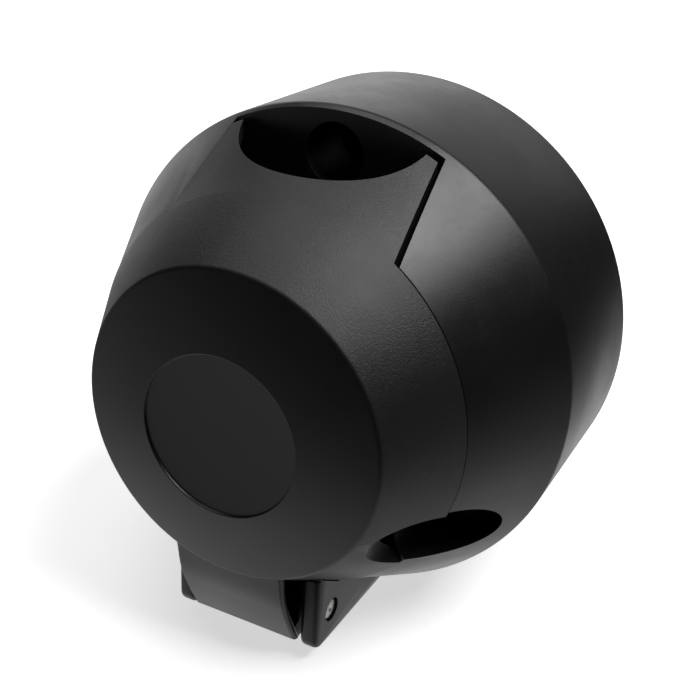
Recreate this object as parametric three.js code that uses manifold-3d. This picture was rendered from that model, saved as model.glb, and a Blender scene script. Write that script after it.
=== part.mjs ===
// Round trailer wiring socket with a sprung, bottom-hinged lid.
// Millimetres. +Z is up, the socket's axis is Y, the lid faces -Y, and the
// origin is the centre of the rear face that seats on the mounting plate.
import * as THREE from 'three';
import { mergeVertices } from 'three/addons/utils/BufferGeometryUtils.js';
import Module from 'manifold-3d';

const wasm = await Module();
wasm.setup();

// ---- Driving dimensions -------------------------------------------------

const ROUND_SEGMENTS = 56;
const RING_SEGMENTS = 36;
const GAP = 0.3;
const WALL = 2.2;
const LID_SIDE = 2.55;

// Outer rings of the closed socket: radius, and distance in front of the rear face.
const REAR_RADIUS = 38.0;
const CREASE = { r: 38.32, y: -26.99, fillet: 1.6 };
const LID_RIM = { r: 29.58, y: -43.61 };
const FRONT_RING = { r: 22.76, y: -55.09, fillet: 0.9 };
const FRONT_DISC = { r: 11.82, y: -57.53, sunk: 0.38 };

// Housing.
const SKIRT_INNER_RADIUS = 35.5;
const BODY_FRONT_Y = LID_RIM.y + GAP;
const FRONT_WALL = 2.4;
const REAR_CHAMFER = 0.5;
const CHAMBER = { shoulder: 1.4, frontStep: 2.8 };
const COLLAR = { outer: 20.2, bore: 17.8, front: -50.5, rear: -25.0, lip: 0.5 };
const BOSS_WALL = 1.2;
const BOSS_HOLE_DEPTH = 9;

// Screw positions: three, a third of a turn apart, the first at the top.
const SCREW_CIRCLE_RADIUS = 31.5;
const SCREW_HOLE_RADIUS = 2.75;
const HEAD_BORE = { r: 4.6, seat: -14.0 };
const PILLAR_RADIUS = 6.5;
const POCKET_FLOOR_Y = -28.0;
const POCKET = { x: 26.1, z: -15.4, r: 5.9 };
const LID_SCALLOP = { x: 25.6, z: -16.0, r: 5.9 };

// Top notch in the housing and the lid's lobe that covers its front part.
const NOTCH_INNER_RADIUS = 25.4;
const LOBE = { frontHalf: 17.35, rearHalf: 16.0, rearY: -29.1, sideGap: 0.6 };
const SCOOP = { r: 15.0, y: -25.05 };
const NOTCH_TOP_Z = 46;
const NOTCH_SIDES_FROM_Z = 2;

// Hinge.
const PIN = { r: 1.65, y: -45.2, z: -31.3, half: 11.7 };
const EAR = { inner: 9.2, outer: 12.0, front: -49.8, low: -36.4, corner: 2.0, hole: 1.85 };
const EAR_REACH = 9.0;
const EAR_TOP = 8;
const ARM = { half: 8.7, thick: 2.4, rearY: -49.9, low: -35.3, top: -19, bulge: 0.9, bendZ: -27.5 };
const KNUCKLE = { r: 3.8, bore: 1.9, cheek: 2.3, web: 3.4 };
const SADDLE_RADIUS = 6.7;
const LID_OPEN_CLEARANCE = 0.4;
const LID_SWEEP_MARGIN = 0.6;
const SPRING_ROOM = 0.9;
const PIN_CHAMFER = 0.3;
const SPRING = {
  coil: 2.75, wire: 0.5, turns: 4, half: 3.6, leg: 7.0, start: 200, extra: 70, lidLeg: 4.34,
};

// Contact carrier and its thirteen contacts.
const CARRIER = { r: 17.4, front: -38.0, rear: -20.0, flange: 20.9, flangeThick: 2.6 };
const CARRIER_LUG = { x: 23.4, r: 2.9, hole: 1.6 };
const CONTACT_RINGS = [
  { count: 8, radius: 13.0, start: 22.5 },
  { count: 4, radius: 6.6, start: 45 },
  { count: 1, radius: 0, start: 0 },
];
const CONTACT = { r: 1.7, bore: 1.15, depth: 12, front: -36.6, post: 2.1, rear: -11.5 };
const CONTACT_HOLE = { mouth: 1.35, r: 2.0, step: -36.9 };
const WIRE_BORE = { r: 1.2, depth: 6 };
const TERMINAL = { y: -15.2, thread: 0.75, head: 1.35, headHeight: 0.9, hole: 1.05 };

// Rubber pieces.
const LID_SEAL = { inner: 15.6, outer: 20.7, front: -53.2, rear: -50.8 };
const SEAL_RIB = { inner: 13.8, outer: 15.3, rear: -51.8 };
const LID_INNER_FRONT = LID_SEAL.front - GAP;
const GASKET = { outer: 35.2, hole: 12.4, front: -2.2 };
const GROMMET = { cable: 4.2, neck: 12.0, flange: 15.0, flangeFront: -4.4, nose: 6.4, front: -9.5 };

// ---- Solid helpers --------------------------------------------------------

/** Turns a closed three.js geometry into a solid with outward faces. */
function solidFrom(geometry) {
  const bare = geometry.clone();
  bare.deleteAttribute('normal');
  bare.deleteAttribute('uv');
  const merged = mergeVertices(bare, 1e-4);
  const place = merged.attributes.position.array;
  const corners = merged.index.array;
  const triangles = [];
  let volume = 0;
  for (let i = 0; i < corners.length; i += 3) {
    const [a, b, c] = corners.slice(i, i + 3);
    if (a === b || b === c || c === a) continue;
    triangles.push([a, b, c]);
    const [p, q, r] = [a, b, c].map((n) => new THREE.Vector3().fromArray(place, n * 3));
    volume += p.dot(q.cross(r));
  }
  const outward = volume > 0 ? triangles : triangles.map(([a, b, c]) => [a, c, b]);
  return new wasm.Manifold(new wasm.Mesh({
    numProp: 3,
    vertProperties: Float32Array.from(place),
    triVerts: Uint32Array.from(outward.flat()),
  }));
}

/** Joins a list of solids into one. */
function join(solids) {
  return solids.reduce((whole, next) => whole.add(next));
}

/** Takes each of a list of solids away from the first. */
function cut(solid, tools) {
  return tools.reduce((left, tool) => left.subtract(tool), solid);
}

/** Revolves an outline of [radius, y] points about the socket's axis. */
function revolve(outline, segments = ROUND_SEGMENTS) {
  const points = outline.map(([r, y]) => new THREE.Vector2(r, y));
  if (outline[0][0] > 0) points.push(points[0].clone());
  return solidFrom(new THREE.LatheGeometry(points, segments));
}

/** A round bar along Y between two depths, centred on x, z. */
function barAlongY(x, z, radius, front, rear, segments = 16) {
  const bar = new THREE.CylinderGeometry(radius, radius, rear - front, segments);
  return solidFrom(bar.translate(x, (front + rear) / 2, z));
}

/** A round bar along X, centred on y, z. */
function barAlongX(y, z, radius, left, right, segments = 20) {
  const bar = new THREE.CylinderGeometry(radius, radius, right - left, segments);
  return solidFrom(bar.rotateZ(Math.PI / 2).translate((left + right) / 2, y, z));
}

/** A shape drawn in (y, z), given thickness along X. */
function plateAcrossX(shape, left, right) {
  const plate = new THREE.ExtrudeGeometry(shape, { depth: right - left, bevelEnabled: false });
  const turn = new THREE.Matrix4().makeBasis(
    new THREE.Vector3(0, 1, 0), new THREE.Vector3(0, 0, 1), new THREE.Vector3(1, 0, 0));
  return solidFrom(plate.applyMatrix4(turn).translate(left, 0, 0));
}

/** A shape drawn in (x, z), run along Y between two depths. */
function prismAlongY(shape, front, rear) {
  const prism = new THREE.ExtrudeGeometry(shape, { depth: rear - front, bevelEnabled: false });
  return solidFrom(prism.rotateX(Math.PI / 2).translate(0, rear, 0));
}

/** A shape drawn in (x, y), run along Z between two heights. */
function prismAlongZ(shape, low, high) {
  const prism = new THREE.ExtrudeGeometry(shape, { depth: high - low, bevelEnabled: false });
  return solidFrom(prism.translate(0, 0, low));
}

/** A closed straight-sided shape through [u, v] points. */
function polygon(points) {
  return new THREE.Shape(points.map(([u, v]) => new THREE.Vector2(u, v)));
}

/** Points that round the corner between two straight runs of an outline. */
function roundCorner(before, corner, after, radius, steps = 5) {
  const at = new THREE.Vector2(...corner);
  const inward = new THREE.Vector2(...before).sub(at).normalize();
  const outward = new THREE.Vector2(...after).sub(at).normalize();
  const half = inward.angleTo(outward) / 2;
  const run = radius / Math.tan(half);
  const start = at.clone().addScaledVector(inward, run);
  const end = at.clone().addScaledVector(outward, run);
  return new THREE.QuadraticBezierCurve(start, at, end).getPoints(steps).map((p) => [p.x, p.y]);
}

/** The radius of the straight flank between two rings, at depth y. */
function flankRadius(a, b, y) {
  return a.r + ((b.r - a.r) * (y - a.y)) / (b.y - a.y);
}

const ringPoint = (ring) => [ring.r, ring.y];
const bodyRadiusAt = (y) => flankRadius(LID_RIM, CREASE, y);
const lidRadiusAt = (y) => flankRadius(FRONT_RING, LID_RIM, y);

/** The x, z centres of the three mounting screws. */
const SCREWS = [0, 120, 240].map((turn) => {
  const angle = THREE.MathUtils.degToRad(turn);
  return { x: SCREW_CIRCLE_RADIUS * Math.sin(angle), z: SCREW_CIRCLE_RADIUS * Math.cos(angle) };
});

// ---- Top notch and lobe ---------------------------------------------------

/** Plan outline of the lobe, wider at the front, grown by a margin on its sides. */
function lobePlan(margin, front, rear) {
  const slope = (LOBE.rearHalf - LOBE.frontHalf) / (CREASE.y - LID_RIM.y);
  const halfAt = (y) => LOBE.frontHalf + slope * (y - LID_RIM.y) + margin;
  return polygon([
    [-halfAt(front), front], [halfAt(front), front], [halfAt(rear), rear], [-halfAt(rear), rear],
  ]);
}

/** The notch's volume: outside an inner radius, between the lobe's two sides. */
function notchVolume(innerRadius, margin, rear) {
  const front = LID_RIM.y - 6;
  const ring = revolve([[innerRadius, front], [REAR_RADIUS + 8, front],
    [REAR_RADIUS + 8, rear], [innerRadius, rear]]);
  return ring.intersect(prismAlongZ(lobePlan(margin, front, rear), NOTCH_SIDES_FROM_Z, NOTCH_TOP_Z));
}

/** The round upright cut that gives a screwdriver its way past the lobe's top edge. */
function scoopVolume() {
  const low = LID_RIM.r - LID_SIDE - 3;
  const bar = new THREE.CylinderGeometry(SCOOP.r, SCOOP.r, NOTCH_TOP_Z - low, ROUND_SEGMENTS);
  return solidFrom(bar.rotateX(Math.PI / 2).translate(0, SCOOP.y, (NOTCH_TOP_Z + low) / 2));
}

// ---- Housing --------------------------------------------------------------

/** The housing's outer form, filled in. */
function housingEnvelope() {
  const front = [bodyRadiusAt(BODY_FRONT_Y), BODY_FRONT_Y];
  const rear = [REAR_RADIUS, -REAR_CHAMFER];
  return revolve([
    [0, BODY_FRONT_Y], front,
    ...roundCorner(front, ringPoint(CREASE), rear, CREASE.fillet),
    rear, [REAR_RADIUS - REAR_CHAMFER, 0], [0, 0],
  ]);
}

/** The wiring chamber, open at the rear. */
function chamberVolume() {
  const inside = BODY_FRONT_Y + FRONT_WALL;
  const shoulder = CREASE.y + CHAMBER.shoulder;
  return revolve([
    [0, inside], [bodyRadiusAt(inside) - CHAMBER.frontStep, inside],
    [SKIRT_INNER_RADIUS, shoulder], [SKIRT_INNER_RADIUS, 1], [0, 1],
  ]);
}

/** The tube that takes the plug, and holds the contact carrier at its rear. */
function collarTube() {
  const { outer, bore, front, rear, lip } = COLLAR;
  return revolve([
    [bore + lip, front], [outer - lip, front], [outer, front + lip],
    [outer, rear], [bore, rear], [bore, front + lip],
  ]);
}

/** Walls inside the chamber: notch lining, pockets, pillars, hinge saddle and carrier bosses. */
function innerWalls() {
  const notch = notchVolume(NOTCH_INNER_RADIUS - WALL, LOBE.sideGap + WALL, POCKET_FLOOR_Y + WALL);
  const sleeves = [-1, 1].map((side) => barAlongY(
    side * POCKET.x, POCKET.z, POCKET.r + WALL, BODY_FRONT_Y, POCKET_FLOOR_Y + WALL));
  const pillars = SCREWS.map(({ x, z }) => barAlongY(x, z, PILLAR_RADIUS, POCKET_FLOOR_Y + 0.5, 0));
  const saddle = barAlongX(PIN.y, PIN.z, SADDLE_RADIUS + WALL, -EAR.outer, EAR.outer);
  const bosses = [-1, 1].map((side) => barAlongY(
    side * CARRIER_LUG.x, 0, CARRIER_LUG.r + BOSS_WALL, BODY_FRONT_Y + 1, COLLAR.rear, 16));
  return join([notch, ...sleeves, ...pillars, saddle, ...bosses]);
}

/** One hinge ear: a plate that carries an end of the pin. */
function hingeEar(left, right) {
  const { front, low, corner } = EAR;
  const root = CREASE.y + 1;
  const shape = new THREE.Shape();
  shape.moveTo(front, PIN.z + EAR_TOP);
  shape.lineTo(front, low + corner);
  shape.quadraticCurveTo(front, low, front + corner, low);
  shape.lineTo(root, low);
  shape.lineTo(root, PIN.z + EAR_TOP);
  const plate = plateAcrossX(shape, left, right);
  const reach = barAlongX(PIN.y, PIN.z, EAR_REACH, left - 1, right + 1, 32);
  const block = polygon([
    [PIN.y, low - 1], [root + 1, low - 1], [root + 1, PIN.z + EAR_TOP + 1], [PIN.y, PIN.z + EAR_TOP + 1],
  ]);
  const keep = reach.add(plateAcrossX(block, left - 1, right + 1));
  return plate.intersect(keep).subtract(lidSweepVolume());
}

/** The space that the closed lid fills, with its running clearance. */
function lidSweepVolume() {
  const front = FRONT_DISC.y - 1;
  const rim = LID_RIM.y + GAP;
  const edgeAt = (y) => [lidRadiusAt(y) + LID_SWEEP_MARGIN, y];
  return revolve([[0, front], edgeAt(front), edgeAt(rim), [0, rim]]);
}

function buildHousing() {
  const envelope = housingEnvelope();
  const shell = envelope.subtract(chamberVolume());
  const ears = [hingeEar(EAR.inner, EAR.outer), hingeEar(-EAR.outer, -EAR.inner)];
  const earRoots = join(ears).subtract(chamberVolume());
  const whole = join([shell, innerWalls().intersect(envelope), collarTube(), earRoots]);
  const pockets = [-1, 1].map((side) => barAlongY(
    side * POCKET.x, POCKET.z, POCKET.r, BODY_FRONT_Y - 1, POCKET_FLOOR_Y, 24));
  const headBores = SCREWS.map(({ x, z }) => barAlongY(
    x, z, HEAD_BORE.r, POCKET_FLOOR_Y - 0.5, HEAD_BORE.seat));
  const screwHoles = SCREWS.map(({ x, z }) => barAlongY(
    x, z, SCREW_HOLE_RADIUS, HEAD_BORE.seat - 1, 1));
  const lugHoles = [-1, 1].map((side) => barAlongY(
    side * CARRIER_LUG.x, 0, CARRIER_LUG.hole - 0.2, COLLAR.rear - BOSS_HOLE_DEPTH, COLLAR.rear + 1, 12));
  return cut(whole, [
    notchVolume(NOTCH_INNER_RADIUS, LOBE.sideGap, POCKET_FLOOR_Y),
    ...pockets, ...headBores, ...screwHoles, ...lugHoles,
    barAlongY(0, 0, COLLAR.bore, BODY_FRONT_Y - 1, COLLAR.rear + 0.5, ROUND_SEGMENTS),
    barAlongX(PIN.y, PIN.z, SADDLE_RADIUS, -EAR.inner, EAR.inner),
    barAlongX(PIN.y, PIN.z, EAR.hole, -EAR.outer - 1, EAR.outer + 1),
  ]);
}

// ---- Lid ------------------------------------------------------------------

/** The lid's outer form, filled in: shallow front cone with a sunken disc, and conical side. */
function lidEnvelope() {
  const sunkY = FRONT_DISC.y + FRONT_DISC.sunk;
  return revolve([
    [0, sunkY], [FRONT_DISC.r - 0.1, sunkY], ringPoint(FRONT_DISC),
    ...roundCorner(ringPoint(FRONT_DISC), ringPoint(FRONT_RING), ringPoint(LID_RIM), FRONT_RING.fillet, 4),
    ringPoint(LID_RIM), [0, LID_RIM.y],
  ]);
}

/** The hollow inside the lid. */
function lidHollow() {
  const innerAt = (y) => lidRadiusAt(y) - LID_SIDE;
  return revolve([
    [0, LID_INNER_FRONT], [innerAt(LID_INNER_FRONT), LID_INNER_FRONT],
    [innerAt(LID_RIM.y + 1), LID_RIM.y + 1], [0, LID_RIM.y + 1],
  ]);
}

/** The rib inside the lid that the seal is pressed over. */
function sealRib() {
  const { inner, outer, rear } = SEAL_RIB;
  const root = LID_INNER_FRONT - 0.5;
  return revolve([[inner, root], [outer, root], [outer, rear], [inner, rear]]);
}

/** The lobe that reaches back over the housing's top notch. */
function lidLobe() {
  const front = LID_RIM.y - 3;
  const rearRadius = bodyRadiusAt(LOBE.rearY);
  const ring = revolve([
    [lidRadiusAt(front) - 0.1, front], ringPoint(LID_RIM), [rearRadius, LOBE.rearY],
    [rearRadius - LID_SIDE, LOBE.rearY], [LID_RIM.r - LID_SIDE, LID_RIM.y],
    [lidRadiusAt(front) - LID_SIDE, front],
  ]);
  const sides = prismAlongZ(lobePlan(0, front, LOBE.rearY), NOTCH_SIDES_FROM_Z, NOTCH_TOP_Z);
  return ring.intersect(sides).subtract(scoopVolume());
}

/** The front plate of the arm, which curves back as it goes down past the pin. */
function armPlate() {
  const { thick, rearY, low, top, bulge, bendZ } = ARM;
  const { r, y } = FRONT_RING;
  const foot = { y: rearY + thick * 0.95, z: low - 0.4 };
  const shape = new THREE.Shape();
  shape.moveTo(y - bulge / 2, top);
  shape.lineTo(y, -r);
  shape.quadraticCurveTo(y + bulge, bendZ, rearY, low);
  shape.lineTo(foot.y, foot.z);
  shape.quadraticCurveTo(y + bulge + thick, bendZ, y + thick, -r);
  shape.lineTo(y + thick, top);
  return plateAcrossX(shape, -ARM.half, ARM.half);
}

/** One side cheek of the arm, from the plate back round the pin. */
function armCheek(left, right) {
  const { y, z } = PIN;
  const { r, web } = KNUCKLE;
  const plate = polygon([
    [FRONT_RING.y + 1.2, ARM.top - 2], [y + 0.5, z + r * 1.7], [y + web, z + 1.5], [y + web, z - 1],
    [y, z - r], [ARM.rearY + 1, ARM.low], [FRONT_RING.y + ARM.thick + 0.3, ARM.bendZ - 2.5],
  ]);
  return plateAcrossX(plate, left, right).add(barAlongX(y, z, r, left, right));
}

function buildLid() {
  const { half } = ARM;
  const hollow = lidHollow();
  const arm = join([
    armPlate(), armCheek(half - KNUCKLE.cheek, half), armCheek(-half, KNUCKLE.cheek - half),
  ]);
  const whole = join([
    lidEnvelope().subtract(hollow), arm.subtract(hollow), sealRib(), lidLobe(),
  ]);
  const coilRoom = SPRING.coil + SPRING.wire + SPRING_ROOM;
  const earRoom = EAR_REACH + LID_OPEN_CLEARANCE;
  const slotInner = EAR.inner - LID_OPEN_CLEARANCE;
  const slotOuter = EAR.outer + LID_OPEN_CLEARANCE;
  const scallops = [-1, 1].map((side) => barAlongY(
    side * LID_SCALLOP.x, LID_SCALLOP.z, LID_SCALLOP.r, FRONT_RING.y, LID_RIM.y + 1, 24));
  return cut(whole, [
    ...scallops,
    barAlongX(PIN.y, PIN.z, coilRoom, KNUCKLE.cheek - half, half - KNUCKLE.cheek),
    barAlongX(PIN.y, PIN.z, earRoom, slotInner, slotOuter, 32),
    barAlongX(PIN.y, PIN.z, earRoom, -slotOuter, -slotInner, 32),
    barAlongX(PIN.y, PIN.z, KNUCKLE.bore, -half - 1, half + 1),
  ]);
}

function buildLidSeal() {
  const { inner, outer, front, rear } = LID_SEAL;
  const bead = 0.5;
  return revolve([
    [inner, front], [outer, front], [outer, rear - bead], [outer - bead, rear],
    [inner + bead, rear], [inner, rear - bead],
  ], RING_SEGMENTS);
}

// ---- Hinge pin and spring ---------------------------------------------------

function buildHingePin() {
  const { r, y, z, half } = PIN;
  const outline = [[0, -half], [r - PIN_CHAMFER, -half], [r, -half + PIN_CHAMFER],
    [r, half - PIN_CHAMFER], [r - PIN_CHAMFER, half], [0, half]];
  const points = outline.map(([u, v]) => new THREE.Vector2(u, v));
  const pin = new THREE.LatheGeometry(points, 16);
  return solidFrom(pin.rotateZ(Math.PI / 2).translate(0, y, z));
}

/** The spring's wire path: a leg on the arm, the coil on the pin, a leg under the housing. */
function springPath() {
  const { coil, turns, half, leg, start, extra, lidLeg } = SPRING;
  const stepsPerTurn = 12;
  const firstAngle = THREE.MathUtils.degToRad(start);
  const swept = 2 * Math.PI * turns + THREE.MathUtils.degToRad(extra);
  const count = Math.round((swept / (2 * Math.PI)) * stepsPerTurn);
  const coilPoint = (i) => {
    const angle = firstAngle + (swept * i) / count;
    return new THREE.Vector3(-half + (2 * half * i) / count,
      PIN.y + coil * Math.cos(angle), PIN.z + coil * Math.sin(angle));
  };
  const coilPoints = Array.from({ length: count + 1 }, (_, i) => coilPoint(i));
  const first = coilPoints[0];
  const last = coilPoints[count];
  const lidEnd = new THREE.Vector3(first.x, first.y - 0.55, first.z + lidLeg);
  const housingEnd = new THREE.Vector3(last.x, last.y + leg, last.z - 0.2);
  return new THREE.CatmullRomCurve3([lidEnd, ...coilPoints, housingEnd], false, 'centripetal');
}

function buildLidSpring() {
  const section = new THREE.Shape();
  section.absarc(0, 0, SPRING.wire, 0, 2 * Math.PI, false);
  const wire = new THREE.ExtrudeGeometry(section, {
    steps: 60, curveSegments: 3, bevelEnabled: false, extrudePath: springPath(),
  });
  return solidFrom(wire);
}

// ---- Contacts ---------------------------------------------------------------

/** Places of the contacts: x, z and the outward direction of each. */
const CONTACT_PLACES = CONTACT_RINGS.flatMap(({ count, radius, start }) =>
  Array.from({ length: count }, (_, i) => {
    const angle = THREE.MathUtils.degToRad(start + (360 * i) / count);
    return { x: radius * Math.sin(angle), z: radius * Math.cos(angle), angle };
  }));

function buildContactCarrier() {
  const { r, front, rear, flange, flangeThick } = CARRIER;
  const seat = COLLAR.rear + GAP;
  const disc = revolve([
    [0, front], [r - 0.4, front], [r, front + 0.4], [r, seat], [flange, seat],
    [flange, seat + flangeThick], [r, seat + flangeThick], [r, rear], [0, rear],
  ]);
  const lugs = [-1, 1].map((side) => barAlongY(
    side * CARRIER_LUG.x, 0, CARRIER_LUG.r, seat, seat + flangeThick, 20));
  const bridges = prismAlongY(polygon([
    [-CARRIER_LUG.x, -2.4], [CARRIER_LUG.x, -2.4], [CARRIER_LUG.x, 2.4], [-CARRIER_LUG.x, 2.4],
  ]), seat, seat + flangeThick);
  const holes = CONTACT_PLACES.flatMap(({ x, z }) => [
    barAlongY(x, z, CONTACT_HOLE.mouth, front - 1, CONTACT_HOLE.step + 1, 10),
    barAlongY(x, z, CONTACT_HOLE.r, CONTACT_HOLE.step, rear + 1, 10),
  ]);
  const lugHoles = [-1, 1].map((side) => barAlongY(
    side * CARRIER_LUG.x, 0, CARRIER_LUG.hole + 0.2, seat - 1, seat + flangeThick + 1, 12));
  return cut(join([disc, bridges, ...lugs]), [...holes, ...lugHoles]);
}

/** A contact sleeve with its wire post behind the carrier. */
function buildContact({ x, z, angle }) {
  const { r, bore, depth, front, post, rear } = CONTACT;
  const shoulder = CARRIER.rear + GAP;
  const sleeve = revolve([
    [bore, front], [r, front], [r, shoulder], [post, shoulder], [post, rear],
    [WIRE_BORE.r, rear], [WIRE_BORE.r, rear - WIRE_BORE.depth], [0, rear - WIRE_BORE.depth],
    [0, front + depth], [bore, front + depth],
  ], 10);
  return sleeve.translate([x, 0, z]).subtract(terminalBar(x, z, angle, TERMINAL.hole, 0.4, 4));
}

/** A round bar that stands out sideways from a contact's axis. */
function terminalBar(x, z, angle, radius, from, to) {
  const bar = new THREE.CylinderGeometry(radius, radius, to - from, 8);
  bar.translate(0, (from + to) / 2, 0).rotateX(Math.PI / 2).rotateY(angle);
  return solidFrom(bar.translate(x, TERMINAL.y, z));
}

/** The screw that clamps the wire in a contact's post. */
function buildTerminalScrew({ x, z, angle }) {
  const seat = CONTACT.post + 0.2;
  const shank = terminalBar(x, z, angle, TERMINAL.thread, WIRE_BORE.r - 0.2, seat + 0.1);
  const head = terminalBar(x, z, angle, TERMINAL.head, seat, seat + TERMINAL.headHeight);
  return shank.add(head);
}

/** A screw that holds the carrier's lug on the housing's boss. */
function buildCarrierScrew(side) {
  const seat = COLLAR.rear + GAP + CARRIER.flangeThick + 0.1;
  const x = side * CARRIER_LUG.x;
  const shank = barAlongY(x, 0, CARRIER_LUG.hole - 0.5, COLLAR.rear - 7, seat + 0.1, 12);
  const head = barAlongY(x, 0, CARRIER_LUG.hole + 1.0, seat, seat + 1.9, 16);
  const recess = barAlongY(x, 0, 0.8, seat + 1.0, seat + 3, 4);
  return shank.add(head).subtract(recess);
}

// ---- Rubber at the rear -------------------------------------------------------

function buildRearGasket() {
  const { outer, hole, front } = GASKET;
  const plate = revolve([[hole, front], [outer, front], [outer, 0], [hole, 0]]);
  const clear = SCREWS.map(({ x, z }) => barAlongY(x, z, PILLAR_RADIUS + GAP, front - 1, 1));
  return cut(plate, clear);
}

function buildCableGrommet() {
  const { cable, neck, flange, flangeFront, nose, front } = GROMMET;
  const seat = GASKET.front - GAP;
  return revolve([
    [cable, front], [nose, front], [nose + 3.2, flangeFront], [flange, flangeFront],
    [flange, seat], [neck, seat], [neck, -0.2], [cable, -0.2],
  ], RING_SEGMENTS);
}

// ---- Assembly -----------------------------------------------------------------

const FINISHES = {
  housing: { color: 0x1b1b1c, roughness: 0.42, metalness: 0 },
  lid: { color: 0x19191a, roughness: 0.6, metalness: 0 },
  rubber: { color: 0x111112, roughness: 0.85, metalness: 0 },
  carrier: { color: 0x232324, roughness: 0.55, metalness: 0 },
  brass: { color: 0xb08d45, roughness: 0.35, metalness: 1 },
  steel: { color: 0xb9bcc0, roughness: 0.3, metalness: 1 },
  springSteel: { color: 0x8d9095, roughness: 0.35, metalness: 1 },
};

/** A named mesh with its own material. */
function piece(name, solid, finish) {
  const mesh = solid.getMesh();
  const geometry = new THREE.BufferGeometry();
  geometry.setAttribute('position', new THREE.BufferAttribute(mesh.vertProperties, 3));
  geometry.setIndex(new THREE.BufferAttribute(mesh.triVerts, 1));
  geometry.computeVertexNormals();
  const made = new THREE.Mesh(geometry, new THREE.MeshStandardMaterial(FINISHES[finish]));
  made.name = name;
  return made;
}

const numbered = (name, index) => `${name}_${String(index + 1).padStart(2, '0')}`;

const fixedPieces = new THREE.Group();
fixedPieces.add(
  piece('housing', buildHousing(), 'housing'),
  piece('hinge_pin', buildHingePin(), 'steel'),
  piece('lid_spring', buildLidSpring(), 'springSteel'),
  piece('contact_carrier', buildContactCarrier(), 'carrier'),
  piece('carrier_screw_left', buildCarrierScrew(-1), 'steel'),
  piece('carrier_screw_right', buildCarrierScrew(1), 'steel'),
  piece('rear_gasket', buildRearGasket(), 'rubber'),
  piece('cable_grommet', buildCableGrommet(), 'rubber'),
);
CONTACT_PLACES.forEach((place, i) => {
  fixedPieces.add(
    piece(numbered('contact_sleeve', i), buildContact(place), 'brass'),
    piece(numbered('terminal_screw', i), buildTerminalScrew(place), 'steel'),
  );
});

const movingPieces = new THREE.Group();
movingPieces.add(
  piece('lid', buildLid(), 'lid'),
  piece('lid_seal', buildLidSeal(), 'rubber'),
);

const socket = new THREE.Group();
socket.add(fixedPieces, movingPieces);

export default socket;
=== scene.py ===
# Round trailer wiring socket with a sprung lid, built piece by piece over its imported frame.
import math

import bpy
from mathutils import Matrix, Vector


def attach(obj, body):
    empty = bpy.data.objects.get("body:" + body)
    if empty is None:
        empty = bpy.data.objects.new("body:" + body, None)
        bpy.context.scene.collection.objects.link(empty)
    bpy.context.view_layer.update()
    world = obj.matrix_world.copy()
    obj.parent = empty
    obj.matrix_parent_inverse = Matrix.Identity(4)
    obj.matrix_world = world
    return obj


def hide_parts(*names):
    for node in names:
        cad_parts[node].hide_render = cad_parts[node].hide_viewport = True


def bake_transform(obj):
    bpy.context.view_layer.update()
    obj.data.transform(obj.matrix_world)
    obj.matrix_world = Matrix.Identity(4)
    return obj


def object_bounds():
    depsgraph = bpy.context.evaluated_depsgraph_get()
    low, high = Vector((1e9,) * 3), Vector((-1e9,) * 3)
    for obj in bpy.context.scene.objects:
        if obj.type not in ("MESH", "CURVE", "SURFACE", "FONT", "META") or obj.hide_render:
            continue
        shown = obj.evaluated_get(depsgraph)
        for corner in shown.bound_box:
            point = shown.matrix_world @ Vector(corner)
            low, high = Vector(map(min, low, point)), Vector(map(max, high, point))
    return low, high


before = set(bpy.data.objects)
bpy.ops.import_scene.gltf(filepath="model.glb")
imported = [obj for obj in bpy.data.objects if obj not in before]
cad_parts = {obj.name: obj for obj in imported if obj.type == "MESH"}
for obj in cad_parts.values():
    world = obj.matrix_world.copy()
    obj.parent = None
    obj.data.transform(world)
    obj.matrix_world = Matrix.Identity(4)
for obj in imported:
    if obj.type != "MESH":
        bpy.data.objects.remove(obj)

bl_info = {
    "name": "Trailer wiring socket",
    "version": (1, 0, 0),
    "blender": (4, 5, 0),
    "location": "View3D > Sidebar > Socket",
    "description": "Builds a round trailer wiring socket with a sprung lid",
    "category": "Object",
}

CAD_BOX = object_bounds()
MM = 0.001

# ---- Sizes in millimetres, the same as the frame's -------------------------

REAR_RADIUS = 38.0
CREASE = (38.32, -26.99)
LID_RIM = (29.58, -43.61)
FRONT_RING = (22.76, -55.09)
FRONT_DISC = (11.82, -57.53)
DISC_SUNK = 0.38
CREASE_FILLET = 1.6
RING_FILLET = 0.9
GAP = 0.3
WALL = 2.2
LID_SIDE = 2.55
SKIRT_INNER = 35.5
FRONT_WALL = 2.4
BODY_FRONT = LID_RIM[1] + GAP
RIM_SEAM = 0.08
LID_REAR = BODY_FRONT - RIM_SEAM
SLANT_WALL = 2.8
SHOULDER = CREASE[1] + 1.4
COLLAR = {"outer": 20.2, "bore": 17.8, "front": -50.5, "rear": -25.0}

SCREW_CIRCLE = 31.5
SCREW_HOLE = 2.75
HEAD_BORE = 4.6
HEAD_SEAT = -14.0
PILLAR = 6.5
POCKET_FLOOR = -28.0
POCKET = (26.1, -15.4, 5.9)
LID_SCALLOP = (25.6, -16.0, 5.9)

NOTCH_INNER = 25.4
LOBE = {"front_half": 17.35, "rear_half": 16.0, "rear": -29.1}
SCOOP = {"r": 15.0, "y": -25.05}
NOTCH_TOP = 46.0
NOTCH_LOW = 2.0
SIDE_GAPS = (0.1, 0.75)  # the lid sits to the left in its notch

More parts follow.
